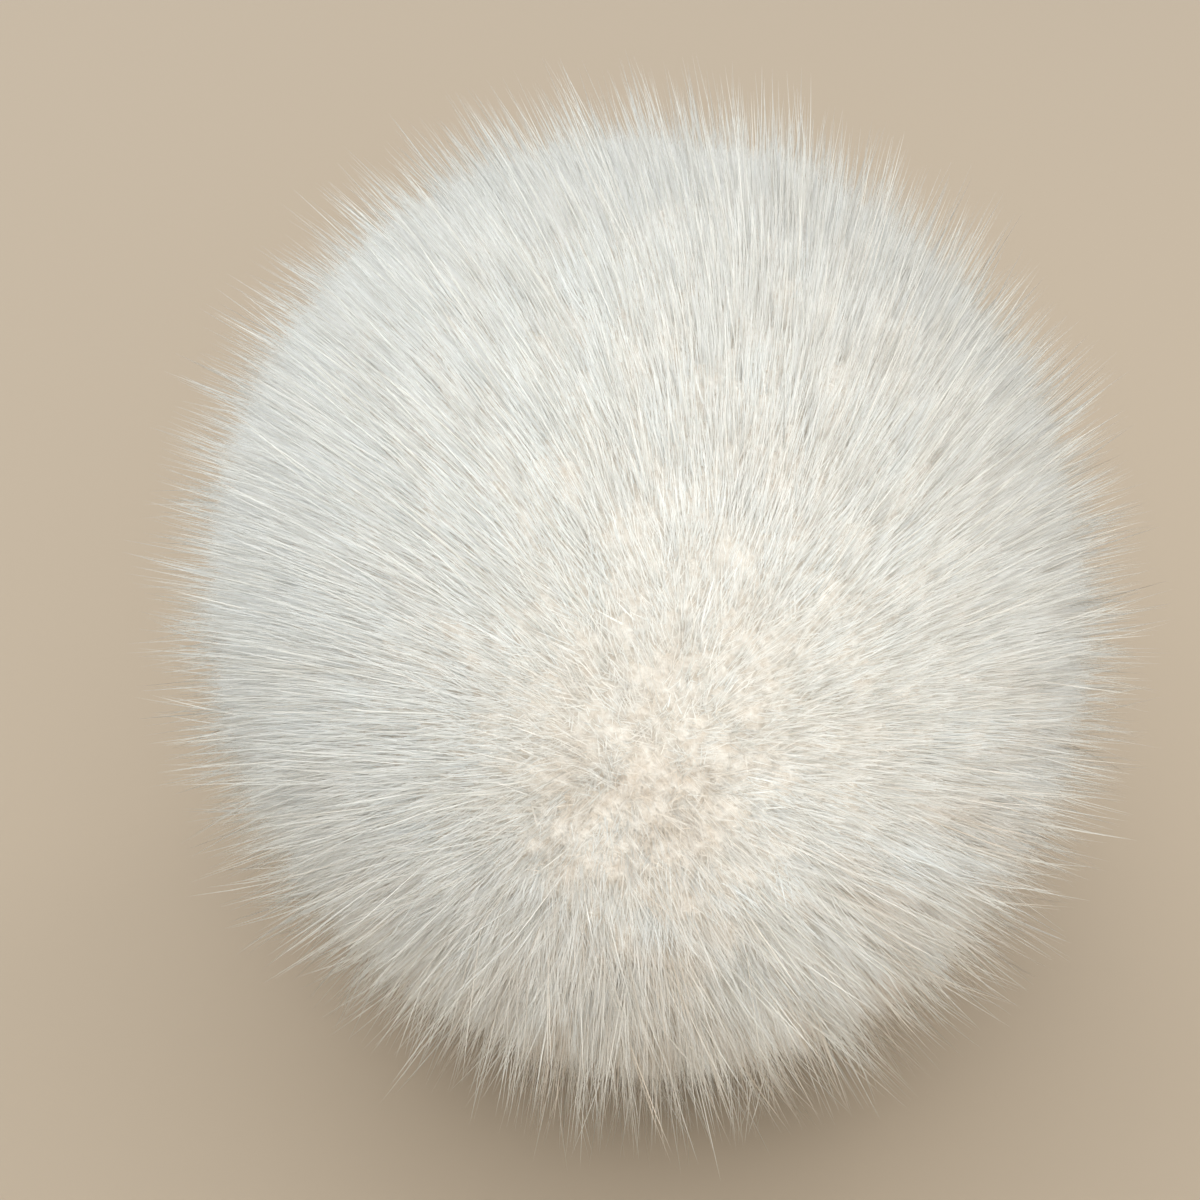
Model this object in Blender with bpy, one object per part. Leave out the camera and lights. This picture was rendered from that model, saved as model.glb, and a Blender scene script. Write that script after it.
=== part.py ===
"""A long-pile pom pom at rest on a flat surface.

It is one solid: the outer form of the combed pile, out to where most of the hairs end. The pile parts at
a crown on the front (-Y), a little left of the middle, and is combed away from it over the whole ball, to
meet again at the back. Its own weight presses a small flat spot under it.

Metres, +Z up. The origin is the middle of the box round the ball, on the surface that it rests on.
"""

import math

import bmesh
import bpy
from mathutils import Vector

# Driving dimensions
WIDTH = 0.128  # from side to side
DEPTH = 0.139  # from front to back
HEIGHT = 0.134  # of the round ball, before the flat spot is pressed into it
REST_RADIUS = 0.018  # of the flat spot

# The crown, where the pile parts, as seen from the middle of the ball
CROWN_HEADING = math.radians(-17.0)  # from straight ahead, negative to the left
CROWN_RISE = math.radians(2.0)  # above the horizontal

# Grid of the surface
SECTORS = 96  # round the upright axis
RINGS = 46  # from the top down to the rim of the flat spot
SETTLED_REACH = math.radians(22.0)  # above the rim, where the unevenness is at its full height

# Broad unevenness: soft swells (+) and hollows (-) as a share of the ball's own radius. Each is centred on a
# heading (0 is the front, 90 the right) and a rise above the horizontal, and fades over its reach, all in
# degrees.
SWELLS = (
    {"heading": -118.0, "rise": 48.0, "share": 0.026, "reach": 38.0},  # fuller behind the left
    {"heading": 96.0, "rise": 30.0, "share": -0.012, "reach": 34.0},  # flatter on the right
    {"heading": -40.0, "rise": -34.0, "share": -0.018, "reach": 32.0},  # thinner low on the left front
    {"heading": 150.0, "rise": 62.0, "share": 0.014, "reach": 30.0},  # fuller behind the right
    {"heading": 20.0, "rise": -30.0, "share": 0.012, "reach": 26.0},  # a full lower front
    {"heading": -12.0, "rise": 78.0, "share": -0.010, "reach": 24.0},  # a soft dip on top
)

# Combed locks: low ridges that run from the crown to the back and waver on the way
LOCKS = (
    {"count": 9, "relief": 0.00040, "waver": 0.50, "phase": 0.4},
    {"count": 16, "relief": 0.00035, "waver": 0.80, "phase": 2.1},
    {"count": 23, "relief": 0.00030, "waver": 1.10, "phase": 5.0},
)
WAVES_ALONG_LOCK = 3.0

PILE_COLOUR = (0.86, 0.84, 0.79, 1.0)
PILE_ROUGHNESS = 0.85


def clear_scene():
    for thing in list(bpy.data.objects):
        bpy.data.objects.remove(thing)


def heading_to_direction(heading, rise):
    """The unit vector at a heading from the front, positive to the right, and a rise from the horizontal."""
    return Vector(
        (
            math.sin(heading) * math.cos(rise),
            -math.cos(heading) * math.cos(rise),
            math.sin(rise),
        )
    )


def crown_axes():
    """Three unit vectors: one to each side of the crown's axis, and the axis itself."""
    axis = heading_to_direction(CROWN_HEADING, CROWN_RISE)
    side = Vector((0, 0, 1)).cross(axis).normalized()
    return side, axis.cross(side), axis


def ball_radius(direction):
    """The distance to the plain ellipsoid along a unit vector."""
    return 1.0 / math.sqrt(
        (direction.x / (WIDTH / 2)) ** 2
        + (direction.y / (DEPTH / 2)) ** 2
        + (direction.z / (HEIGHT / 2)) ** 2
    )


def swell_share(direction):
    """The sum of the swells and hollows here, each a bell round its own centre."""
    total = 0.0
    for swell in SWELLS:
        centre = heading_to_direction(math.radians(swell["heading"]), math.radians(swell["rise"]))
        away = direction.angle(centre) / math.radians(swell["reach"])
        total += swell["share"] * math.exp(-away * away)
    return total


def lock_height(direction, crown):
    """The ridges' height along a unit vector: waves round the crown's axis, steady away from it."""
    side, rise, axis = (direction.dot(vector) for vector in crown)
    along = math.acos(max(-1.0, min(1.0, axis)))
    around = math.atan2(rise, side)
    height = 0.0
    for lock in LOCKS:
        drift = lock["waver"] * math.sin(WAVES_ALONG_LOCK * along + lock["phase"])
        height += lock["relief"] * math.cos(lock["count"] * around + drift + lock["phase"])
    return height * math.sin(along) ** 2


def rim_angle():
    """The angle from straight down to the rim of the flat spot, on the plain ellipsoid."""
    mean_radius = math.sqrt(WIDTH * DEPTH) / 2
    level = HEIGHT / 2 * math.sqrt(1.0 - (REST_RADIUS / mean_radius) ** 2)
    return math.atan2(REST_RADIUS, level)


def settled(fall):
    """How much of the unevenness shows at an angle above the rim: none there, all of it past the reach."""
    share = max(0.0, min(1.0, fall / SETTLED_REACH))
    return share * share * (3.0 - 2.0 * share)


def pile_point(around, down, crown):
    """Where the pile ends at an angle round the upright axis and an angle down from the top."""
    direction = Vector(
        (
            math.sin(down) * math.cos(around),
            math.sin(down) * math.sin(around),
            math.cos(down),
        )
    )
    share = settled(math.pi - rim_angle() - down)
    swell = 1.0 + swell_share(direction) * share
    return direction * (ball_radius(direction) * swell + lock_height(direction, crown) * share)


def ring_points(ring, crown):
    down = (math.pi - rim_angle()) * ring / RINGS
    return [pile_point(2.0 * math.pi * sector / SECTORS, down, crown) for sector in range(SECTORS)]


def add_rings(mesh):
    """The surface from the top to the rim: a fan at the top, then bands of four-sided faces."""
    crown = crown_axes()
    top = mesh.verts.new(pile_point(0.0, 0.0, crown))
    rings = []
    for ring in range(1, RINGS + 1):
        rings.append([mesh.verts.new(point) for point in ring_points(ring, crown)])
    for sector in range(SECTORS):
        after = (sector + 1) % SECTORS
        mesh.faces.new((top, rings[0][sector], rings[0][after]))
        for upper, lower in zip(rings, rings[1:]):
            mesh.faces.new((upper[sector], lower[sector], lower[after], upper[after]))
    return rings[-1]


def press_flat(mesh, rim):
    """Levels the rim and closes it with one flat face, which the ball rests on."""
    level = sum(vertex.co.z for vertex in rim) / len(rim)
    for vertex in rim:
        vertex.co.z = level
    mesh.faces.new(tuple(reversed(rim)))


def settle_on_origin(mesh):
    """Moves the ball so that its box is centred over the origin and stands on it."""
    places = [vertex.co for vertex in mesh.verts]
    low = Vector(min(place[i] for place in places) for i in range(3))
    high = Vector(max(place[i] for place in places) for i in range(3))
    middle = (low + high) / 2
    bmesh.ops.translate(mesh, verts=mesh.verts, vec=(-middle.x, -middle.y, -low.z))


def pile_material():
    material = bpy.data.materials.new("white_pile")
    material.use_nodes = True
    shader = material.node_tree.nodes["Principled BSDF"]
    shader.inputs["Base Color"].default_value = PILE_COLOUR
    shader.inputs["Roughness"].default_value = PILE_ROUGHNESS
    shader.inputs["Metallic"].default_value = 0.0
    return material


def fur_ball():
    mesh = bmesh.new()
    rim = add_rings(mesh)
    press_flat(mesh, rim)
    settle_on_origin(mesh)
    data = bpy.data.meshes.new("fur_ball")
    mesh.to_mesh(data)
    mesh.free()
    data.shade_smooth()
    data.set_sharp_from_angle(angle=math.radians(35))
    data.materials.append(pile_material())
    ball = bpy.data.objects.new("fur_ball", data)
    bpy.context.scene.collection.objects.link(ball)
    return ball


def main():
    clear_scene()
    fur_ball()


main()
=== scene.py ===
"""The looks of a white fur pom pom: undercoat, underfur, pile and guard hairs, on a plain pale floor.

The pile parts at a crown on the front and is combed away from it over the whole ball. Every hair is a thin
closed spike. A coat is a set of tufts spread evenly over the ball, and each tuft is a bundle of hairs whose
tips draw together. All lengths are in metres.
"""

import math

import bpy
import numpy as np
from bpy.props import FloatProperty, FloatVectorProperty, PointerProperty
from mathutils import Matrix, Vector
from mathutils.bvhtree import BVHTree


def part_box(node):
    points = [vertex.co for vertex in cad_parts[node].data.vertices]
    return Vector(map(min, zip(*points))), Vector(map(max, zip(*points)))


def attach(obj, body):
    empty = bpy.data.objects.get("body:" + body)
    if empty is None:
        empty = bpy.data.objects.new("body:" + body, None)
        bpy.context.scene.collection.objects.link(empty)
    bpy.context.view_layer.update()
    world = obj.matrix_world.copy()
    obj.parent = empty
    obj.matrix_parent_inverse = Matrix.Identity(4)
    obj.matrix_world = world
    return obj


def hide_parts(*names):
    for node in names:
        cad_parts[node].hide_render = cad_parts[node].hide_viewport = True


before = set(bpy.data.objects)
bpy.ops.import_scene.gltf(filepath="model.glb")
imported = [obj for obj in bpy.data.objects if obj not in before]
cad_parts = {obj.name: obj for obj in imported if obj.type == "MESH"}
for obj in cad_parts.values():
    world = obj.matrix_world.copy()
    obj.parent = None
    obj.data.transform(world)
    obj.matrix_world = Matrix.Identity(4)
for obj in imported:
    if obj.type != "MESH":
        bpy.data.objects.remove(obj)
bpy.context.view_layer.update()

bl_info = {
    "name": "Fur Pom Pom",
    "version": (1, 0, 0),
    "blender": (4, 5, 0),
    "location": "3D View > Sidebar > Pom Pom",
    "description": "Builds the coats of a long-pile fur ball, and the stage it stands on",
    "category": "Add Mesh",
}

NODE = "fur_ball"
UV_NAME = "OFBake"  # a hair's shade runs along U and its length along V
WHITE = (1.0, 1.0, 1.0)
GOLDEN_ANGLE = math.pi * (3.0 - math.sqrt(5.0))

# How the hairs lie
BACK_LEAN_LOST = 0.93  # share of the lean that is gone where the comb has faded
EVEN_ABOVE = 0.40  # the height, from the middle and as a share of the radius, where the fur is least tousled
TOUSLED_OVER = 0.55  # how far below that it is fully tousled
LEAST_TOUSLED = 0.4
LOCK_SEED = 21
LOCK_WIDTH = 0.0042  # from one lock of the pile to the next, where the locks' field isn't stretched
LOCK_ROUND = 0.75  # the scale of that field round the crown's axis
LOCK_ALONG = 0.35  # and away from the crown
PLACE_JITTER = 0.35  # of a tuft from its place on the spiral, in cells
RUFFLED_REACH = 1.5  # of the ruffled and thinned hairs round the warm patch, as a multiple of its own reach
CALM_REACH = 1.6  # of the evener surface there
CALM_LOSS = 0.6  # how much of the unevenness is gone at the middle of the patch
LONGEST_STRAY = 2.2  # how many times the usual spread a tuft's height may differ
SPLAY = 0.75  # how far out the floor pushes a hair, as a share of the height that it takes from it

# The hairs themselves
ROUNDNESS = 0.45  # how much of a hair's own roundness shows, against the soft mass of the fur
THICKNESS = (0.75, 1.25)  # from the thinnest hair to the thickest, as a share of the coat's radius
TAPER = 0.35  # how much of its radius a hair has lost by its tip, where it closes
HAIR_WIDTH_U = 0.0015  # each side of a hair's own shade
V_START = 0.02
V_LENGTH = 0.96

# How white a hair is, from 0, beige, to 1, cool white
# Painted light and shade by place: from the whitest, high on the left, hairs are made darker and beiger low
# on the ball and to the right
TOP_SHADE = 0.80  # high on the left
LOW_PAINTED_SHADE = 0.34
RIGHT_PAINTED_SHADE = 0.34
WARM_LOSS = 0.36  # at the middle of the warm patch
DAPPLE_SEED = 7
DAPPLE_SIZE = 0.006
DAPPLE = 0.05  # high on the ball
LOW_DAPPLE = 0.18  # more of it low down and in the warm patch
# Painted light and shade: the ridges of the locks are made whiter and the hollows between them darker
LOCK_RIDGE_PAINTED_LIGHT = 0.26  # how much whiter the ridge of a lock is
LOCK_PAINTED_LIGHT_STARTS = 0.25  # how tousled the fur is where ridges start to be whiter
TUFT_SHADE = 0.06  # spread from tuft to tuft
HAIR_SHADE = 0.05  # and from hair to hair

# The undercoat
UNDERCOAT_SHARE = 0.88  # of the way from the middle to the form
UNDERCOAT_DOWN = 64
UNDERCOAT_ROUND = 96

# The stage
CAMERA_SHIFT = (-0.0417, -0.002)
FLOOR_REACH = 4.0
SUN_SIDE = (0.50, 0.42, 0.48)  # the lights' places, from the middle of the ball
BEHIND = (-0.42, 0.58, 0.52)
FRONT_HIGH = (-0.10, -0.62, 0.72)
FRONT_LOW = (0.24, -0.80, 0.36)


# ------------------------------------------------------------------------------------------- settings


class PileSettings(bpy.types.PropertyGroup):
    """How the pile is combed, and how it meets the floor."""

    crown_heading: FloatProperty(
        name="Crown Heading",
        description="Where the pile parts, from straight ahead and positive to the right",
        default=math.radians(-18.0),
        subtype="ANGLE",
    )
    crown_rise: FloatProperty(
        name="Crown Rise",
        description="Height of the parting above the horizontal, from the middle of the ball",
        default=math.radians(-2.0),
        subtype="ANGLE",
    )
    comb: FloatProperty(
        name="Comb",
        description="How far the hairs lie over, away from the crown: the tangent of their lean",
        default=0.75,
        min=0.0,
    )
    comb_grows_over: FloatProperty(
        name="Comb Grows Over",
        description="Angle from the crown in which the lean has grown to most of its full value",
        default=math.radians(20.0),
        subtype="ANGLE",
    )
    comb_fades_by: FloatProperty(
        name="Comb Fades By",
        description="Angle from the crown at which the hairs stand almost straight out again",
        default=math.radians(100.0),
        subtype="ANGLE",
    )
    twist: FloatProperty(
        name="Twist",
        description="Swirl of the hairs round the crown",
        default=0.14,
    )
    drift: FloatVectorProperty(
        name="Drift",
        description="Lean of all the hairs to one side, added to their own direction",
        default=(-0.28, -0.056, -0.083),
        size=3,
    )
    drift_reach: FloatProperty(
        name="Drift Reach",
        description="Angle from the crown over which the drift fades out",
        default=math.radians(120.0),
        subtype="ANGLE",
    )
    warm_heading: FloatProperty(
        name="Warm Patch Heading",
        description="Heading of the patch where the warm undercoat shows through, positive to the right",
        default=math.radians(-2.0),
        subtype="ANGLE",
    )
    warm_rise: FloatProperty(
        name="Warm Patch Rise",
        description="Height of that patch above the horizontal, from the middle of the ball",
        default=math.radians(15.0),
        subtype="ANGLE",
    )
    warm_reach: FloatProperty(
        name="Warm Patch Reach",
        description="Angle over which the patch fades out",
        default=math.radians(17.0),
        subtype="ANGLE",
    )
    floor_reach: FloatProperty(
        name="Floor Reach",
        description="Height over the floor under which hairs start to splay",
        default=0.0022,
        unit="LENGTH",
        min=0.0002,
    )


class ColourSettings(bpy.types.PropertyGroup):
    """The colours of the hairs and of the floor, with the painted shade of the roots, the undercoat and the
    long hairs.
    """

    cool_white: FloatVectorProperty(
        name="Cool White",
        description="The whitest hairs",
        default=(0.945, 0.972, 0.94),
        subtype="COLOR",
        size=3,
        min=0.0,
        max=1.0,
    )
    warm_white: FloatVectorProperty(
        name="Warm White",
        description="Most of the pile",
        default=(0.96, 0.95, 0.885),
        subtype="COLOR",
        size=3,
        min=0.0,
        max=1.0,
    )
    # Beige is the warm patch's own colour; low on the ball and to the right it stands for painted shade
    beige: FloatVectorProperty(
        name="Beige",
        description="The warmest hairs, in the warm patch and low on the ball",
        default=(0.82, 0.735, 0.635),
        subtype="COLOR",
        size=3,
        min=0.0,
        max=1.0,
    )
    # The root colours are painted shade in the depth of the fur: darker than the tips, warmer where the hair
    # is beige
    cool_root_shade: FloatVectorProperty(
        name="Cool Root",
        description="The roots of the whitest hairs",
        default=(0.93, 0.952, 0.925),
        subtype="COLOR",
        size=3,
        min=0.0,
        max=1.0,
    )
    warm_root_shade: FloatVectorProperty(
        name="Warm Root",
        description="The roots of the warmest hairs",
        default=(0.81, 0.72, 0.605),
        subtype="COLOR",
        size=3,
        min=0.0,
        max=1.0,
    )
    # The undercoat's two colours are painted shade: it is coloured as the shaded depth of the fur, and
    # darker between its lumps
    wool: FloatVectorProperty(
        name="Wool",
        description="The undercoat, where it stands highest",
        default=(0.80, 0.765, 0.70),
        subtype="COLOR",
        size=3,
        min=0.0,
        max=1.0,
    )
    wool_hollow_shade: FloatVectorProperty(
        name="Deep Wool",
        description="The undercoat, between its lumps",
        default=(0.60, 0.535, 0.455),
        subtype="COLOR",
        size=3,
        min=0.0,
        max=1.0,
    )
    # Painted shade: the long hairs stand in fuller light and are darkened to the brightness of the shaded
    # pile
    guard_shade_tint: FloatVectorProperty(
        name="Guard Tint",
        description="What the colour of the long hairs is multiplied by",
        default=(0.775, 0.765, 0.74),
        subtype="COLOR",
        size=3,
        min=0.0,
        max=1.0,
    )
    floor: FloatVectorProperty(
        name="Floor",
        description="The plain floor",
        default=(0.36, 0.29, 0.21),
        subtype="COLOR",
        size=3,
        min=0.0,
        max=1.0,
    )


class StageSettings(bpy.types.PropertyGroup):
    """The camera and the lights."""

    camera_rise: FloatProperty(
        name="Camera Rise",
        description="Angle of the camera above the horizontal",
        default=math.radians(34.0),
        subtype="ANGLE",
    )
    camera_distance: FloatProperty(
        name="Camera Distance",
        description="From the camera to the middle of the ball",
        default=0.300,
        unit="LENGTH",
    )
    field_of_view: FloatProperty(
        name="Field of View",
        description="Angle across the picture",
        default=math.radians(31.6),
        subtype="ANGLE",
    )
    key_power: FloatProperty(
        name="Key Power",
        description="Power of the light behind the right shoulder, in watts",
        default=0.65,
        unit="POWER",
    )
    back_power: FloatProperty(
        name="Back Power",
        description="Power of the large light behind the left shoulder, in watts",
        default=1.0,
        unit="POWER",
    )
    front_power: FloatProperty(
        name="Front Power",
        description="Power of the large light above the camera, in watts",
        default=2.15,
        unit="POWER",
    )
    low_power: FloatProperty(
        name="Low Power",
        description="Power of the large light low in front, in watts",
        default=3.15,
        unit="POWER",
    )
    sky_strength: FloatProperty(
        name="Sky Strength",
        description="Brightness of the even light from all round",
        default=1.22,
        min=0.0,
    )


# ------------------------------------------------------------------------------------------- directions


def unit(vectors):
    """Each vector divided by its own length."""
    return vectors / np.maximum(np.linalg.norm(vectors, axis=-1, keepdims=True), 1e-12)


def heading_to_direction(heading, rise):
    """The unit vector at a heading from -Y, positive towards +X, and a rise above the horizontal."""
    return np.array(
        [
            math.sin(heading) * math.cos(rise),
            -math.cos(heading) * math.cos(rise),
            math.sin(rise),
        ]
    )


def spread_directions(count, jitter, rng):
    """Unit vectors spread evenly over a sphere.

    They stand on a golden-angle spiral, turned at random, and each is nudged by about jitter cells.
    """
    step = np.arange(count) + 0.5
    height = 1.0 - 2.0 * step / count
    level = np.sqrt(1.0 - height * height)
    around = GOLDEN_ANGLE * step
    spiral = np.stack([level * np.cos(around), level * np.sin(around), height], axis=1)
    cell = math.sqrt(4.0 * math.pi / count)
    turn, _ = np.linalg.qr(rng.normal(size=(3, 3)))
    return unit(spiral @ turn + rng.normal(0.0, jitter * cell, (count, 3)))


def across(directions):
    """Two unit vectors square to each direction and to each other."""
    guide = np.where(np.abs(directions[:, 2:3]) < 0.9, [[0.0, 0.0, 1.0]], [[1.0, 0.0, 0.0]])
    first = unit(np.cross(directions, guide))
    return first, np.cross(directions, first)


class Waves:
    """A smooth random field in space: a sum of sine waves of about one wavelength, in random directions."""

    def __init__(self, seed, wavelength, count=36):
        rng = np.random.default_rng(seed)
        ahead = unit(rng.normal(size=(count, 3)))
        number = 2.0 * math.pi / (wavelength * rng.uniform(0.75, 1.35, (count, 1)))
        self.number = ahead * number
        self.phase = rng.uniform(0.0, 2.0 * math.pi, count)
        self.scale = math.sqrt(2.0 / count)
        self.wavelength = wavelength

    def value(self, points):
        """The sum of the waves, with a spread of about 1 either way."""
        return self.scale * np.sin(points @ self.number.T + self.phase).sum(1)

    def slope(self, points):
        """The way uphill in the field, scaled to a spread of about 1."""
        steep = np.cos(points @ self.number.T + self.phase)
        return self.scale * (steep @ self.number) * self.wavelength / (2.0 * math.pi)


# ------------------------------------------------------------------------------------------- the form


class Form:
    """The solid's outer form, as a distance from its middle in each direction."""

    DOWN = 90  # steps of the table from the top to the bottom
    AROUND = 180

    def __init__(self):
        low, high = (np.array(corner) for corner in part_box(NODE))
        self.middle = (low + high) / 2.0
        self.size = high - low
        self.table = self.measure()

    def measure(self):
        """Rays from the middle through a grid of angles, down from the top by row and round by column."""
        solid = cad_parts[NODE]
        mesh = solid.data
        points = [tuple(vertex.co) for vertex in mesh.vertices]
        tree = BVHTree.FromPolygons(points, [tuple(face.vertices) for face in mesh.polygons])
        middle = Vector(self.middle)
        table = np.empty((self.DOWN + 1, self.AROUND))
        for row, down in enumerate(np.linspace(0.0, math.pi, self.DOWN + 1)):
            for column, around in enumerate(np.arange(self.AROUND) * 2.0 * math.pi / self.AROUND):
                ray = Vector(
                    (
                        math.sin(down) * math.cos(around),
                        math.sin(down) * math.sin(around),
                        math.cos(down),
                    )
                )
                table[row, column] = tree.ray_cast(middle, ray)[3]
        return table

    def radius(self, directions):
        """The distance to the form along unit vectors, read between the table's four nearest rays."""
        down = np.arccos(np.clip(directions[:, 2], -1.0, 1.0)) / math.pi * self.DOWN
        around = np.arctan2(directions[:, 1], directions[:, 0]) / (2.0 * math.pi) * self.AROUND
        row = np.minimum(down.astype(int), self.DOWN - 1)
        column = np.floor(around).astype(int)
        part, turn = down - row, around - column
        left, right = column % self.AROUND, (column + 1) % self.AROUND
        upper = self.table[row, left] * (1.0 - turn) + self.table[row, right] * turn
        lower = self.table[row + 1, left] * (1.0 - turn) + self.table[row + 1, right] * turn
        return upper * (1.0 - part) + lower * part

    def point(self, directions, share):
        """Points at a share of the way from the middle to the form."""
        return self.middle + directions * (self.radius(directions) * share)[:, None]


def comb_direction(directions, pile):
    """Which way the hairs point: out of the ball, leaning away from the crown, with a swirl and a drift.

    The lean grows from nothing at the crown, as 1 - exp(-angle / reach), and falls with the square of the
    angle to almost nothing on the back, where the hairs would otherwise run together. The drift fades as a
    bell away from the crown.
    """
    crown = heading_to_direction(pile.crown_heading, pile.crown_rise)
    towards = np.clip(directions @ crown, -1.0, 1.0)
    away = unit(directions * towards[:, None] - crown)
    angle = np.arccos(towards)
    grown = 1.0 - np.exp(-angle / pile.comb_grows_over)
    kept = 1.0 - BACK_LEAN_LOST * np.clip(angle / pile.comb_fades_by, 0.0, 1.0) ** 2
    lean = pile.comb * grown * kept
    swirl = pile.twist * np.cross(np.broadcast_to(crown, directions.shape), directions)
    drift = np.exp(-((angle / pile.drift_reach) ** 2))[:, None] * np.array(pile.drift)
    return unit(directions + lean[:, None] * away + swirl + drift)


def combed_place(directions, form, pile):
    """Where each direction lies in the field that the locks are drawn from, and the way round the crown.

    The field is read on a cylinder round the crown's axis, so that what varies in it comes out as streaks
    that run away from the crown. The way round is as long as the sine of the angle from the crown, so that
    what is multiplied by it fades at both ends of the axis.
    """
    crown = heading_to_direction(pile.crown_heading, pile.crown_rise)
    towards = np.clip(directions @ crown, -1.0, 1.0)
    away = unit(directions - towards[:, None] * crown)
    place = LOCK_ROUND * away + (LOCK_ALONG * np.arccos(towards))[:, None] * crown
    return place * form.size.mean() / 2.0, np.cross(crown, directions)


def tousled(directions):
    """How tousled the fur is: a smooth step from its least on the upper half to 1 on the lower."""
    step = np.clip((EVEN_ABOVE - directions[:, 2]) / TOUSLED_OVER, 0.0, 1.0)
    return LEAST_TOUSLED + (1.0 - LEAST_TOUSLED) * step * step * (3.0 - 2.0 * step)


def warmth(directions, pile, spread=1.0):
    """1 at the middle of the warm patch, and a bell away from it over its reach, times the spread."""
    patch = heading_to_direction(pile.warm_heading, pile.warm_rise)
    angle = np.arccos(np.clip(directions @ patch, -1.0, 1.0))
    return np.exp(-((angle / (spread * pile.warm_reach)) ** 2))


def rest_on_floor(points, middle, reach):
    """Presses points that would pass through the floor back over it, and pushes them outwards instead.

    Below the reach a height h becomes reach * exp((h - reach) / reach), which never gets to nought.
    """
    lost = np.maximum(reach - points[..., 2], 0.0)
    flat = points[..., :2] - middle[:2]
    outward = flat / np.maximum(np.linalg.norm(flat, axis=-1, keepdims=True), 1e-4)
    pressed = points.copy()
    pressed[..., :2] += outward * (SPLAY * lost)[..., None]
    pressed[..., 2] = np.where(lost > 0.0, reach * np.exp(-lost / reach), points[..., 2])
    return pressed


# ------------------------------------------------------------------------------------------- hairs


def add_mesh(name, points, triangles, material, uvs=None, normals=None):
    """A smooth-shaded object from whole arrays: points (P, 3) and triangles (T, 3).

    uvs (T, 3, 2) has a place for each corner of each triangle, and normals (P, 3), which are what the light
    meets, one for each point.
    """
    mesh = bpy.data.meshes.new(name)
    mesh.vertices.add(len(points))
    mesh.vertices.foreach_set("co", np.ascontiguousarray(points, dtype=np.float32).ravel())
    mesh.loops.add(triangles.size)
    mesh.loops.foreach_set("vertex_index", np.ascontiguousarray(triangles, dtype=np.int32).ravel())
    mesh.polygons.add(len(triangles))
    mesh.polygons.foreach_set("loop_start", np.arange(0, triangles.size, 3, dtype=np.int32))
    mesh.update(calc_edges=True)
    mesh.shade_smooth()
    if uvs is not None:
        layer = mesh.uv_layers.new(name=UV_NAME)
        layer.data.foreach_set("uv", np.ascontiguousarray(uvs, dtype=np.float32).ravel())
    if normals is not None:
        seen = mesh.attributes.new("custom_normal", "FLOAT_VECTOR", "POINT")
        seen.data.foreach_set("vector", np.ascontiguousarray(normals, dtype=np.float32).ravel())
        mesh.update()
    mesh.materials.append(material)
    piece = bpy.data.objects.new(name, mesh)
    bpy.context.scene.collection.objects.link(piece)
    return piece


def spike_points(lines, radii, spin, soft):
    """Rings of three points round each hair's line, and its tip, and the normal at each of them.

    lines is (N, R + 1, 3), root to tip, and radii (N, R). A ring is square to the line's run from root to
    tip. A normal is mostly the fur's own (soft, (N, 3)), as if light met the soft mass of the fur, and in
    part the hair's own roundness.
    """
    along = unit(lines[:, -1] - lines[:, 0])
    first, second = across(along)
    corner = spin[:, None] + np.arange(3) * (2.0 * math.pi / 3.0)
    turn = np.cos(corner)[..., None] * first[:, None] + np.sin(corner)[..., None] * second[:, None]
    rings = lines[:, :-1, None] + radii[:, :, None, None] * turn[:, None]
    count, levels = radii.shape
    points = np.concatenate([rings.reshape(count, levels * 3, 3), lines[:, -1:]], axis=1)
    round_normals = unit(soft[:, None] + ROUNDNESS * turn)
    normals = np.concatenate([np.tile(round_normals, (1, levels, 1)), soft[:, None]], axis=1)
    return points, normals


def spike_faces(levels):
    """One hair's triangles: the root's cap, bands of three quads cut in two, and the tip's cone."""
    faces = [(0, 2, 1)]
    for level in range(levels - 1):
        for side in range(3):
            low, beside = 3 * level + side, 3 * level + (side + 1) % 3
            faces.append((low, beside, beside + 3))
            faces.append((low, beside + 3, low + 3))
    last = 3 * (levels - 1)
    faces += [(last + side, last + (side + 1) % 3, 3 * levels) for side in range(3)]
    return np.array(faces)


def add_hairs(name, lines, radii, soft, shade, rng, material, pile, middle):
    """Many hairs as one mesh. A hair is narrow in U, round its own shade, and runs from root to tip in V."""
    count, levels = radii.shape
    points, normals = spike_points(lines, radii, rng.uniform(0.0, 2.0 * math.pi, count), soft)
    points = rest_on_floor(points, middle, pile.floor_reach)
    faces = spike_faces(levels)
    corners = 3 * levels + 1
    triangles = (faces[None] + (np.arange(count) * corners)[:, None, None]).reshape(-1, 3)
    side = np.append(np.tile([-HAIR_WIDTH_U, 0.0, HAIR_WIDTH_U], levels), 0.0)
    length = np.append(np.repeat(np.arange(levels) / levels, 3), 1.0)
    u = np.clip(shade, 0.01, 0.99)[:, None] + side
    v = np.broadcast_to(V_START + V_LENGTH * length, (count, corners))
    uv = np.stack([u, v], axis=-1)[:, faces].reshape(-1, 3, 2)
    return add_mesh(name, points.reshape(-1, 3), triangles, material, uv, normals.reshape(-1, 3))


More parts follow.
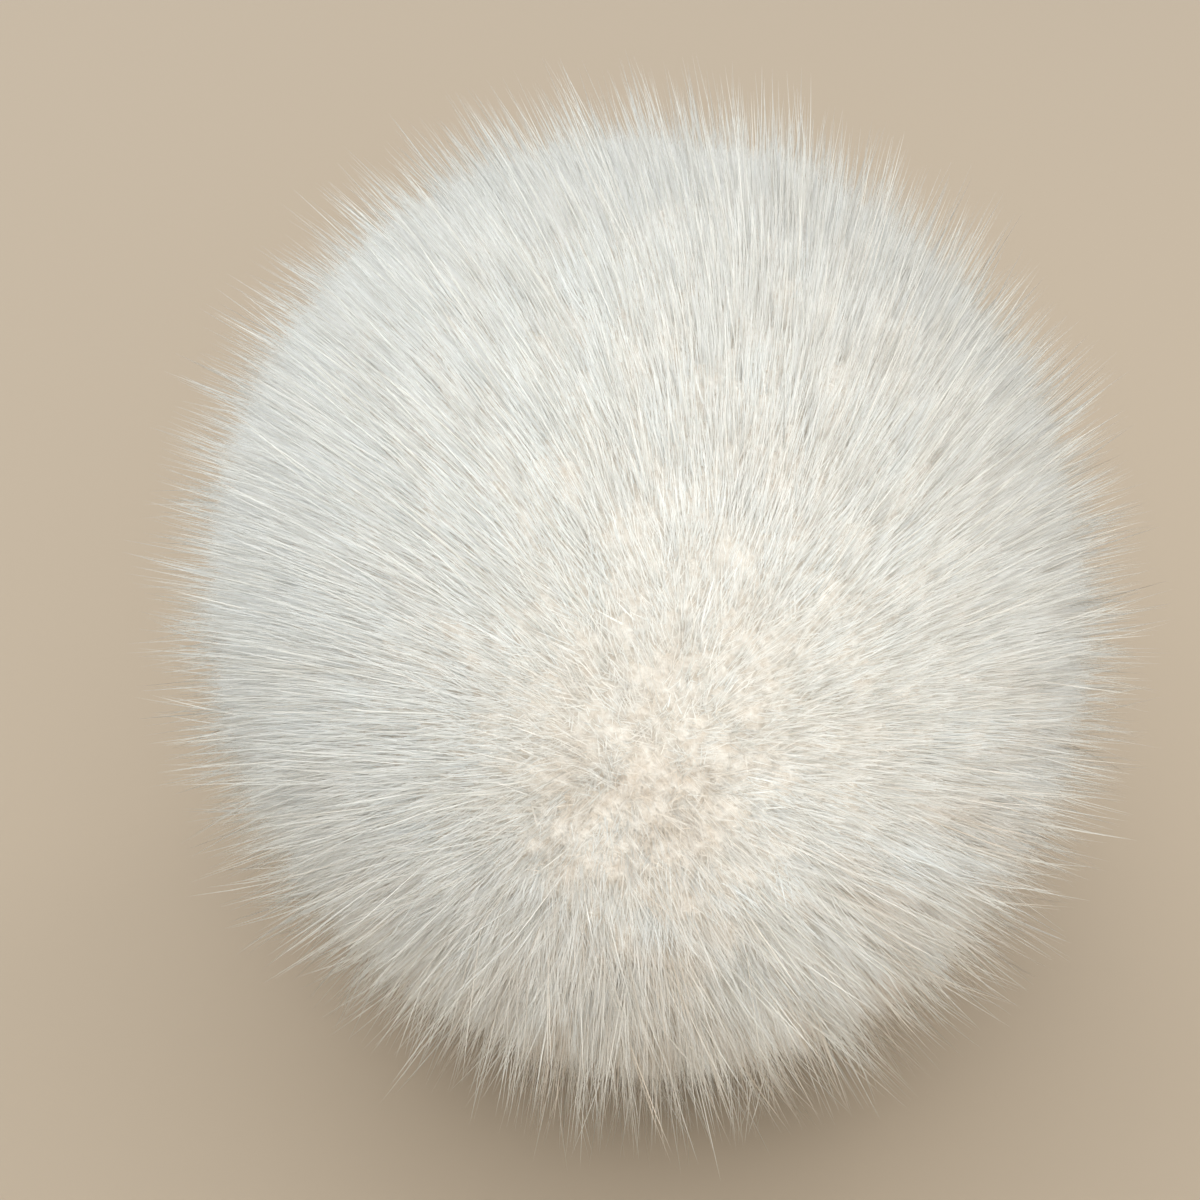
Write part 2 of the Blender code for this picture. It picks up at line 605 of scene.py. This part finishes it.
def shade_at(points, form, tufts, rng, warm, dapple):
    """How white the hairs are: by their place on the ball, patch by patch, tuft by tuft and hair by hair."""
    offset = (points - form.middle) / (form.size / 2.0)
    low = np.clip(0.2 - 0.9 * offset[:, 2], 0.0, 1.0)  # 0 on the upper part, 1 near the floor
    right = np.clip(0.5 + 0.6 * offset[:, 0], 0.0, 1.0)  # 0 at the far left, 1 at the far right
    # Painted light and shade: whiter high on the left, darker and beiger low down and to the right; warm is
    # the warm patch's own colour
    painted_light_and_warm_patch = TOP_SHADE - LOW_PAINTED_SHADE * low - RIGHT_PAINTED_SHADE * right - warm
    patch = (DAPPLE + LOW_DAPPLE * np.clip(low + 2.0 * warm, 0.0, 1.0)) * dapple
    return painted_light_and_warm_patch + patch + rng.normal(0.0, HAIR_SHADE, len(points)) + tufts


def tuft_lines(form, pile, coat, rng):
    """The root and tip of every hair of a coat, the height of its lock's ridge, and the way out of the ball.

    A tuft's tips lie round a point near the form, and its roots round another that is one hair's length back
    along the combed direction. A hair keeps its place in the tuft from root to tip, but its tip is drawn in
    towards the tuft's middle, and hairs further from the middle end sooner, so that a tuft comes to a point.
    """
    tufts, each = coat["tufts"], coat["hairs_each"]
    out = spread_directions(tufts, PLACE_JITTER, rng)
    out = out[rng.uniform(size=tufts) > coat["thinning"] * warmth(out, pile, RUFFLED_REACH)]
    tufts = len(out)
    lean = comb_direction(out, pile)
    loose = tousled(out)
    locks = Waves(LOCK_SEED, LOCK_WIDTH)
    combed, around = combed_place(out, form, pile)
    ridge = locks.value(combed) * np.linalg.norm(around, axis=1)
    gather = (coat["gather"] * loose * (locks.slope(combed) * around).sum(1))[:, None] * around
    bends = Waves(coat["seed"] + 1, coat["tousle_size"]).slope(form.point(out, 1.0))
    lean = unit(lean + (coat["tousle"] * loose)[:, None] * bends)
    spread = coat["tuft_spread"] * loose + coat["ruffle"] * warmth(out, pile, RUFFLED_REACH)
    lean = unit(lean + spread[:, None] * rng.normal(size=lean.shape))
    calm = 1.0 - CALM_LOSS * warmth(out, pile, CALM_REACH)
    uneven = coat["tip_scatter"] * np.clip(rng.normal(size=tufts), -LONGEST_STRAY, LONGEST_STRAY)
    share = coat["tip_share"] + calm * (coat["tip_relief"] * loose * ridge + uneven)
    tip = form.point(out, share) + gather
    length = coat["length"] * rng.uniform(0.9, 1.1, tufts)
    first, second = across(lean)

    away = np.sqrt(rng.uniform(0.0, 1.0, (tufts, each)))
    turn = rng.uniform(0.0, 2.0 * math.pi, (tufts, each))
    spot = np.cos(turn)[..., None] * first[:, None] + np.sin(turn)[..., None] * second[:, None]
    spot = coat["tuft_width"] * (away[..., None] * spot)
    pull = 1.0 - loose[:, None, None] * (1.0 - rng.uniform(*coat["tip_pull"], (tufts, 1, 1)))
    short = coat["point"] * away**2 + rng.uniform(0.0, coat["uneven"], (tufts, each))
    roots = (tip - lean * length[:, None])[:, None] + spot
    ends = tip[:, None] + spot * pull - lean[:, None] * (short * length[:, None])[..., None]
    ends = ends + rng.normal(0.0, coat["stray"], ends.shape)
    return roots.reshape(-1, 3), ends.reshape(-1, 3), np.repeat(ridge, each), np.repeat(out, each, axis=0)


def bent_lines(roots, ends, out, rings, bend):
    """Lines from root to end through the rings' places, that start steeper and lie over towards the tip.

    A point at a share s of the way is raised by bend * length * s * (1 - s) along the outward direction.
    """
    share = np.array([*rings, 1.0])[None, :, None]
    length = np.linalg.norm(ends - roots, axis=1)[:, None, None]
    straight = roots[:, None] + (ends - roots)[:, None] * share
    return straight + out[:, None] * (bend * length * share * (1.0 - share))


# ------------------------------------------------------------------------------------------- materials


def node(tree, kind, **values):
    """A new node of a kind, with its settings."""
    made = tree.nodes.new(kind)
    for name, value in values.items():
        setattr(made, name, value)
    return made


def ramp_of(tree, value, stops):
    """A colour ramp read at a value, with (place, colour) stops."""
    ramp = node(tree, "ShaderNodeValToRGB")
    marks = ramp.color_ramp.elements
    while len(marks) < len(stops):
        marks.new(0.5)
    for mark, (place, colour) in zip(marks, stops):
        mark.position = place
        mark.color = (*colour, 1.0)
    tree.links.new(value, ramp.inputs["Fac"])
    return ramp.outputs["Color"]


def tinted(stops, tint):
    """The same stops with each colour multiplied by the tint."""
    return [(place, [part * share for part, share in zip(colour, tint)]) for place, colour in stops]


def hair_material(name, colours, roughness, root_from, root_to, tint):
    """White hair, beige to cool white along U, and from its darker root colour, painted shade, to its tip
    colour along V.

    It has the root's colour up to root_from and the tip's from root_to on.
    """
    material = bpy.data.materials.new(name)
    material.use_nodes = True
    tree = material.node_tree
    tree.nodes.clear()
    uv = node(tree, "ShaderNodeUVMap", uv_map=UV_NAME)
    parts = node(tree, "ShaderNodeSeparateXYZ")
    tree.links.new(uv.outputs["UV"], parts.inputs[0])
    tip_stops = [(0.0, colours.beige), (0.35, colours.warm_white), (1.0, colours.cool_white)]
    tips = ramp_of(tree, parts.outputs["X"], tinted(tip_stops, tint))
    # The roots' colours are painted shade in the depth of the fur
    root_shade_stops = [(0.0, colours.warm_root_shade), (0.9, colours.cool_root_shade)]
    roots = ramp_of(tree, parts.outputs["X"], tinted(root_shade_stops, tint))
    height = node(tree, "ShaderNodeMapRange")
    height.inputs["From Min"].default_value = root_from
    height.inputs["From Max"].default_value = root_to
    tree.links.new(parts.outputs["Y"], height.inputs["Value"])
    mix = node(tree, "ShaderNodeMix", data_type="RGBA")
    tree.links.new(height.outputs["Result"], mix.inputs["Factor"])
    tree.links.new(roots, mix.inputs[6])
    tree.links.new(tips, mix.inputs[7])
    shader = node(tree, "ShaderNodeBsdfPrincipled")
    shader.inputs["Roughness"].default_value = roughness
    shader.inputs["Specular IOR Level"].default_value = 0.4
    tree.links.new(mix.outputs[2], shader.inputs["Base Color"])
    out = node(tree, "ShaderNodeOutputMaterial")
    tree.links.new(shader.outputs[0], out.inputs["Surface"])
    return material


def undercoat_material(colours):
    """The soft mass at the roots: a cream in the painted shade of deep fur, with a fine dapple and a low
    bump, darker in its hollows.
    """
    material = bpy.data.materials.new("undercoat_painted_shade")
    material.use_nodes = True
    tree = material.node_tree
    shader = tree.nodes["Principled BSDF"]
    place = node(tree, "ShaderNodeTexCoord")
    noise = node(tree, "ShaderNodeTexNoise")
    noise.inputs["Scale"].default_value = 900.0
    noise.inputs["Detail"].default_value = 4.0
    tree.links.new(place.outputs["Object"], noise.inputs["Vector"])
    # Painted shade: the colour darkens where the bump is low, between the lumps
    colour = ramp_of(tree, noise.outputs["Fac"], [(0.3, colours.wool_hollow_shade), (0.7, colours.wool)])
    tree.links.new(colour, shader.inputs["Base Color"])
    bump = node(tree, "ShaderNodeBump")
    bump.inputs["Strength"].default_value = 0.6
    bump.inputs["Distance"].default_value = 0.001
    tree.links.new(noise.outputs["Fac"], bump.inputs["Height"])
    tree.links.new(bump.outputs["Normal"], shader.inputs["Normal"])
    shader.inputs["Roughness"].default_value = 0.9
    shader.inputs["Sheen Weight"].default_value = 0.3
    return material


# ------------------------------------------------------------------------------------------- pieces


# What a coat's values mean:
# tufts, hairs_each and length: how many tufts, of how many hairs, and how long the hairs are
# tip_share: where the tips end, as a share of the way from the middle to the form
# tip_relief and tip_scatter: how far that share rises on the locks' ridges, and differs from tuft to tuft
# gather: how far the tips draw aside, up onto the ridges
# tuft_width and tip_pull: a tuft's radius at its roots, and what share of it is left at its tips
# tuft_spread: how far the tufts lean apart at random
# tousle and tousle_size: how far they lean together in waves, and how long the waves are
# ruffle and thinning: how much more they lean apart in the warm patch, and what share is left out there
# point, uneven and stray: how much sooner a tuft's outer hairs end, and any hair, and how far tips stray
# sheen_scatter: how far the fur's own normals differ from hair to hair
# rings and bend: where along a hair its rings stand, and how far it is raised in the middle
UNDERFUR = {
    "seed": 100,
    "pieces": 1,
    "tufts": 6000,
    "hairs_each": 4,
    "length": 0.0075,
    "tip_share": 0.935,
    "tip_relief": 0.006,
    "tip_scatter": 0.006,
    "gather": 0.0003,
    "tuft_width": 0.0026,
    "tip_pull": (0.7, 1.0),
    "tuft_spread": 0.10,
    "tousle": 0.10,
    "tousle_size": 0.012,
    "ruffle": 0.14,
    "thinning": 0.0,
    "point": 0.10,
    "uneven": 0.12,
    "stray": 0.0006,
    "sheen_scatter": 0.12,
    "rings": (0.0,),
    "bend": 0.0,
    "root_radius": 0.000180,
}

PILE = {
    "seed": 200,
    "pieces": 4,
    "tufts": 10400,
    "hairs_each": 4,
    "length": 0.0108,
    "tip_share": 0.980,
    "tip_relief": 0.013,
    "tip_scatter": 0.009,
    "gather": 0.0010,
    "tuft_width": 0.0011,
    "tip_pull": (0.15, 0.6),
    "tuft_spread": 0.09,
    "tousle": 0.11,
    "tousle_size": 0.010,
    "ruffle": 0.09,
    "thinning": 0.0,
    "point": 0.16,
    "uneven": 0.22,
    "stray": 0.00030,
    "sheen_scatter": 0.12,
    "rings": (0.0,),
    "bend": 0.0,
    "root_radius": 0.000105,
}

OVERHAIR = {
    "seed": 400,
    "pieces": 1,
    "tufts": 4400,
    "hairs_each": 3,
    "length": 0.0140,
    "tip_share": 1.030,
    "tip_relief": 0.009,
    "tip_scatter": 0.014,
    "gather": 0.0008,
    "tuft_width": 0.0012,
    "tip_pull": (0.3, 1.2),
    "tuft_spread": 0.09,
    "tousle": 0.10,
    "tousle_size": 0.012,
    "ruffle": 0.0,
    "thinning": 0.9,
    "point": 0.04,
    "uneven": 0.16,
    "stray": 0.0005,
    "sheen_scatter": 0.15,
    "rings": (0.0,),
    "bend": 0.0,
    "root_radius": 0.000082,
}

GUARD = {
    "seed": 300,
    "pieces": 1,
    "tufts": 4400,
    "hairs_each": 3,
    "length": 0.0195,
    "tip_share": 1.100,
    "tip_relief": 0.010,
    "tip_scatter": 0.026,
    "gather": 0,
    "tuft_width": 0.0022,
    "tip_pull": (0.3, 1.3),
    "tuft_spread": 0.10,
    "tousle": 0.10,
    "tousle_size": 0.012,
    "ruffle": 0.0,
    "thinning": 0.97,
    "point": 0.04,
    "uneven": 0.20,
    "stray": 0.0006,
    "sheen_scatter": 0.2,
    "rings": (0.0, 0.6),
    "bend": 0.10,
    "root_radius": 0.000068,
}


def add_coat(name, coat, form, settings, material):
    """One coat of hairs, as one or more pieces, each with its own tufts."""
    pile = settings.pile
    for number in range(coat["pieces"]):
        rng = np.random.default_rng(coat["seed"] + 10 * number)
        roots, ends, ridge, out = tuft_lines(form, pile, coat, rng)
        lines = bent_lines(roots, ends, out, coat["rings"], coat["bend"])
        thick = coat["root_radius"] * rng.uniform(*THICKNESS, (len(lines), 1))
        taper = 1.0 - TAPER * np.array([coat["rings"]])
        tufts = rng.normal(0.0, TUFT_SHADE, len(lines) // coat["hairs_each"])
        tufts = np.repeat(tufts, coat["hairs_each"])
        # Painted light and shade: lock ridges whiter, the hollows between the locks darker
        tufts = tufts + LOCK_RIDGE_PAINTED_LIGHT * ridge * (tousled(out) - LOCK_PAINTED_LIGHT_STARTS)
        dapple = Waves(DAPPLE_SEED, DAPPLE_SIZE).value(combed_place(out, form, pile)[0])
        shade = shade_at(ends, form, tufts, rng, WARM_LOSS * warmth(out, pile), dapple)
        label = name if coat["pieces"] == 1 else f"{name}_{number + 1}"
        soft = unit(out + rng.normal(0.0, coat["sheen_scatter"], out.shape))
        piece = add_hairs(label, lines, thick * taper, soft, shade, rng, material, pile, form.middle)
        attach(piece, "root")


def undercoat_mesh(form, pile, material):
    """A closed ball inside the fur: the form drawn in to a share of its size, with soft lumps.

    Its points stand on rings round the upright axis, with one more at the top and one at the bottom.
    """
    down = np.linspace(0.0, math.pi, UNDERCOAT_DOWN + 1)[1:-1, None]
    around = np.arange(UNDERCOAT_ROUND)[None] * (2.0 * math.pi / UNDERCOAT_ROUND)
    level, height = np.sin(down), np.cos(down) + 0.0 * around
    grid = np.stack([level * np.cos(around), level * np.sin(around), height], axis=-1).reshape(-1, 3)
    directions = np.concatenate([grid, [[0.0, 0.0, 1.0], [0.0, 0.0, -1.0]]])
    plain = form.point(directions, 1.0)
    lumps = 0.005 * Waves(11, 0.012).value(plain) + 0.003 * Waves(12, 0.005).value(plain)
    points = form.point(directions, UNDERCOAT_SHARE + lumps)
    points = rest_on_floor(points, form.middle, pile.floor_reach)
    row = np.arange(UNDERCOAT_DOWN - 2)[:, None] * UNDERCOAT_ROUND
    below = row + UNDERCOAT_ROUND
    here = np.arange(UNDERCOAT_ROUND)
    after = (here + 1) % UNDERCOAT_ROUND
    left = np.stack([row + here, below + here, below + after], -1).reshape(-1, 3)
    right = np.stack([row + here, below + after, row + after], -1).reshape(-1, 3)
    top, bottom = len(grid), len(grid) + 1
    last = (UNDERCOAT_DOWN - 2) * UNDERCOAT_ROUND
    upper = np.stack([np.full_like(here, top), here, after], -1)
    lower = np.stack([np.full_like(here, bottom), last + after, last + here], -1)
    return add_mesh("undercoat", points, np.concatenate([left, right, upper, lower]), material)


def add_undercoat(form, settings):
    """The undercoat, which takes the place of the solid, now hidden."""
    piece = undercoat_mesh(form, settings.pile, undercoat_material(settings.colours))
    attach(piece, "root")
    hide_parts(NODE)


# ------------------------------------------------------------------------------------------- stage


def add_area_light(name, place, target, size, power, colour):
    """A round soft light that faces the target."""
    light = bpy.data.lights.new(name, "AREA")
    light.shape = "DISK"
    light.size = size
    light.energy = power
    light.color = colour
    lamp = bpy.data.objects.new(name, light)
    lamp.location = place
    lamp.rotation_euler = (Vector(target) - Vector(place)).to_track_quat("-Z", "Y").to_euler()
    bpy.context.scene.collection.objects.link(lamp)


def add_floor(colours):
    """A plain round floor, far wider than the view."""
    sides = 64
    around = np.arange(sides) * (2.0 * math.pi / sides)
    rim = FLOOR_REACH * np.stack([np.cos(around), np.sin(around), 0.0 * around], axis=1)
    mesh = bpy.data.meshes.new("floor")
    mesh.from_pydata(rim.tolist(), [], [tuple(range(sides))])
    material = bpy.data.materials.new("plain_floor")
    material.use_nodes = True
    shader = material.node_tree.nodes["Principled BSDF"]
    shader.inputs["Base Color"].default_value = (*colours.floor, 1.0)
    shader.inputs["Roughness"].default_value = 0.75
    mesh.materials.append(material)
    floor = bpy.data.objects.new("floor", mesh)
    bpy.context.scene.collection.objects.link(floor)


def add_camera(form, stage):
    """A camera at the front, looking down at the ball's middle."""
    out = heading_to_direction(0.0, stage.camera_rise)
    target = Vector(form.middle)
    camera = bpy.data.cameras.new("camera")
    camera.sensor_width = 36.0
    camera.angle = stage.field_of_view
    camera.shift_x, camera.shift_y = CAMERA_SHIFT
    holder = bpy.data.objects.new("camera", camera)
    holder.location = target + Vector(out) * stage.camera_distance
    holder.rotation_euler = (-Vector(out)).to_track_quat("-Z", "Y").to_euler()
    bpy.context.scene.collection.objects.link(holder)
    bpy.context.scene.camera = holder


def add_world(stage):
    """An even light from all round."""
    world = bpy.data.worlds.new("sky")
    world.use_nodes = True
    background = world.node_tree.nodes["Background"]
    background.inputs["Color"].default_value = (0.96, 0.98, 1.0, 1.0)
    background.inputs["Strength"].default_value = stage.sky_strength
    bpy.context.scene.world = world


def add_stage(form, settings):
    """The floor, the sky, the camera, and four soft lights, placed from the middle of the ball."""
    stage = settings.stage
    middle = form.middle
    white = (1.0, 1.0, 0.98)
    warm = (1.0, 0.97, 0.92)
    add_floor(settings.colours)
    add_world(stage)
    add_area_light("sun_side", middle + SUN_SIDE, middle, 0.25, stage.key_power, warm)
    add_area_light("behind", middle + BEHIND, middle, 0.60, stage.back_power, white)
    add_area_light("front_high", middle + FRONT_HIGH, middle, 0.55, stage.front_power, white)
    add_area_light("front_low", middle + FRONT_LOW, middle, 0.60, stage.low_power, white)
    add_camera(form, stage)
    bpy.context.scene.view_settings.view_transform = "Standard"


# ------------------------------------------------------------------------------------------- add-on


class PomPomSettings(bpy.types.PropertyGroup):
    """Everything that a user would change."""

    pile: PointerProperty(type=PileSettings, name="Pile")
    colours: PointerProperty(type=ColourSettings, name="Colours")
    stage: PointerProperty(type=StageSettings, name="Stage")


class POMPOM_OT_undercoat(bpy.types.Operator):
    """Add the soft closed mass at the roots of the fur"""

    bl_idname = "pompom.undercoat"
    bl_label = "Add Undercoat"

    def execute(self, context):
        add_undercoat(Form(), context.scene.pompom)
        return {"FINISHED"}


class POMPOM_OT_underfur(bpy.types.Operator):
    """Add the dense short hairs that fill the ball"""

    bl_idname = "pompom.underfur"
    bl_label = "Add Underfur"

    def execute(self, context):
        settings = context.scene.pompom
        # The underfur keeps its roots' painted shade along almost its whole length
        material = hair_material(
            "underfur_hair", settings.colours, roughness=0.65, root_from=0.0, root_to=1.1, tint=WHITE
        )
        add_coat("underfur", UNDERFUR, Form(), settings, material)
        return {"FINISHED"}


class POMPOM_OT_pile(bpy.types.Operator):
    """Add the tufts of soft hairs that make the ball's surface"""

    bl_idname = "pompom.pile"
    bl_label = "Add Pile"

    def execute(self, context):
        settings = context.scene.pompom
        material = hair_material(
            "pile_hair", settings.colours, roughness=0.55, root_from=0.45, root_to=0.95, tint=WHITE
        )
        add_coat("pile", PILE, Form(), settings, material)
        return {"FINISHED"}


class POMPOM_OT_guard_hairs(bpy.types.Operator):
    """Add the long fine hairs that stand out past the pile"""

    bl_idname = "pompom.guard_hairs"
    bl_label = "Add Guard Hairs"

    def execute(self, context):
        settings = context.scene.pompom
        colours = settings.colours
        # The long hairs' colour is darkened by painted shade
        material = hair_material(
            "guard_hair", colours, roughness=0.35, root_from=0.3, root_to=0.8, tint=colours.guard_shade_tint
        )
        add_coat("overhair", OVERHAIR, Form(), settings, material)
        add_coat("guard_hairs", GUARD, Form(), settings, material)
        return {"FINISHED"}


class POMPOM_OT_stage(bpy.types.Operator):
    """Add the floor, the lights and the camera"""

    bl_idname = "pompom.stage"
    bl_label = "Add Stage"

    def execute(self, context):
        add_stage(Form(), context.scene.pompom)
        return {"FINISHED"}


OPERATORS = (
    POMPOM_OT_undercoat,
    POMPOM_OT_underfur,
    POMPOM_OT_pile,
    POMPOM_OT_guard_hairs,
    POMPOM_OT_stage,
)


class POMPOM_PT_panel(bpy.types.Panel):
    """Lists the steps in order"""

    bl_label = "Pom Pom"
    bl_idname = "POMPOM_PT_panel"
    bl_space_type = "VIEW_3D"
    bl_region_type = "UI"
    bl_category = "Pom Pom"

    def draw(self, context):
        for operator in OPERATORS:
            self.layout.operator(operator.bl_idname)


CLASSES = (PileSettings, ColourSettings, StageSettings, PomPomSettings, *OPERATORS, POMPOM_PT_panel)


def register():
    for item in CLASSES:
        bpy.utils.register_class(item)
    bpy.types.Scene.pompom = PointerProperty(type=PomPomSettings)


def unregister():
    del bpy.types.Scene.pompom
    for item in reversed(CLASSES):
        bpy.utils.unregister_class(item)


def corners(box):
    """A box's two corners as plain lists."""
    return [[float(value) for value in corner] for corner in box]


def main():
    register()
    bpy.ops.pompom.undercoat()
    bpy.ops.pompom.underfur()
    bpy.ops.pompom.pile()
    bpy.ops.pompom.guard_hairs()
    bpy.ops.pompom.stage()


if __name__ == "__main__":
    main()
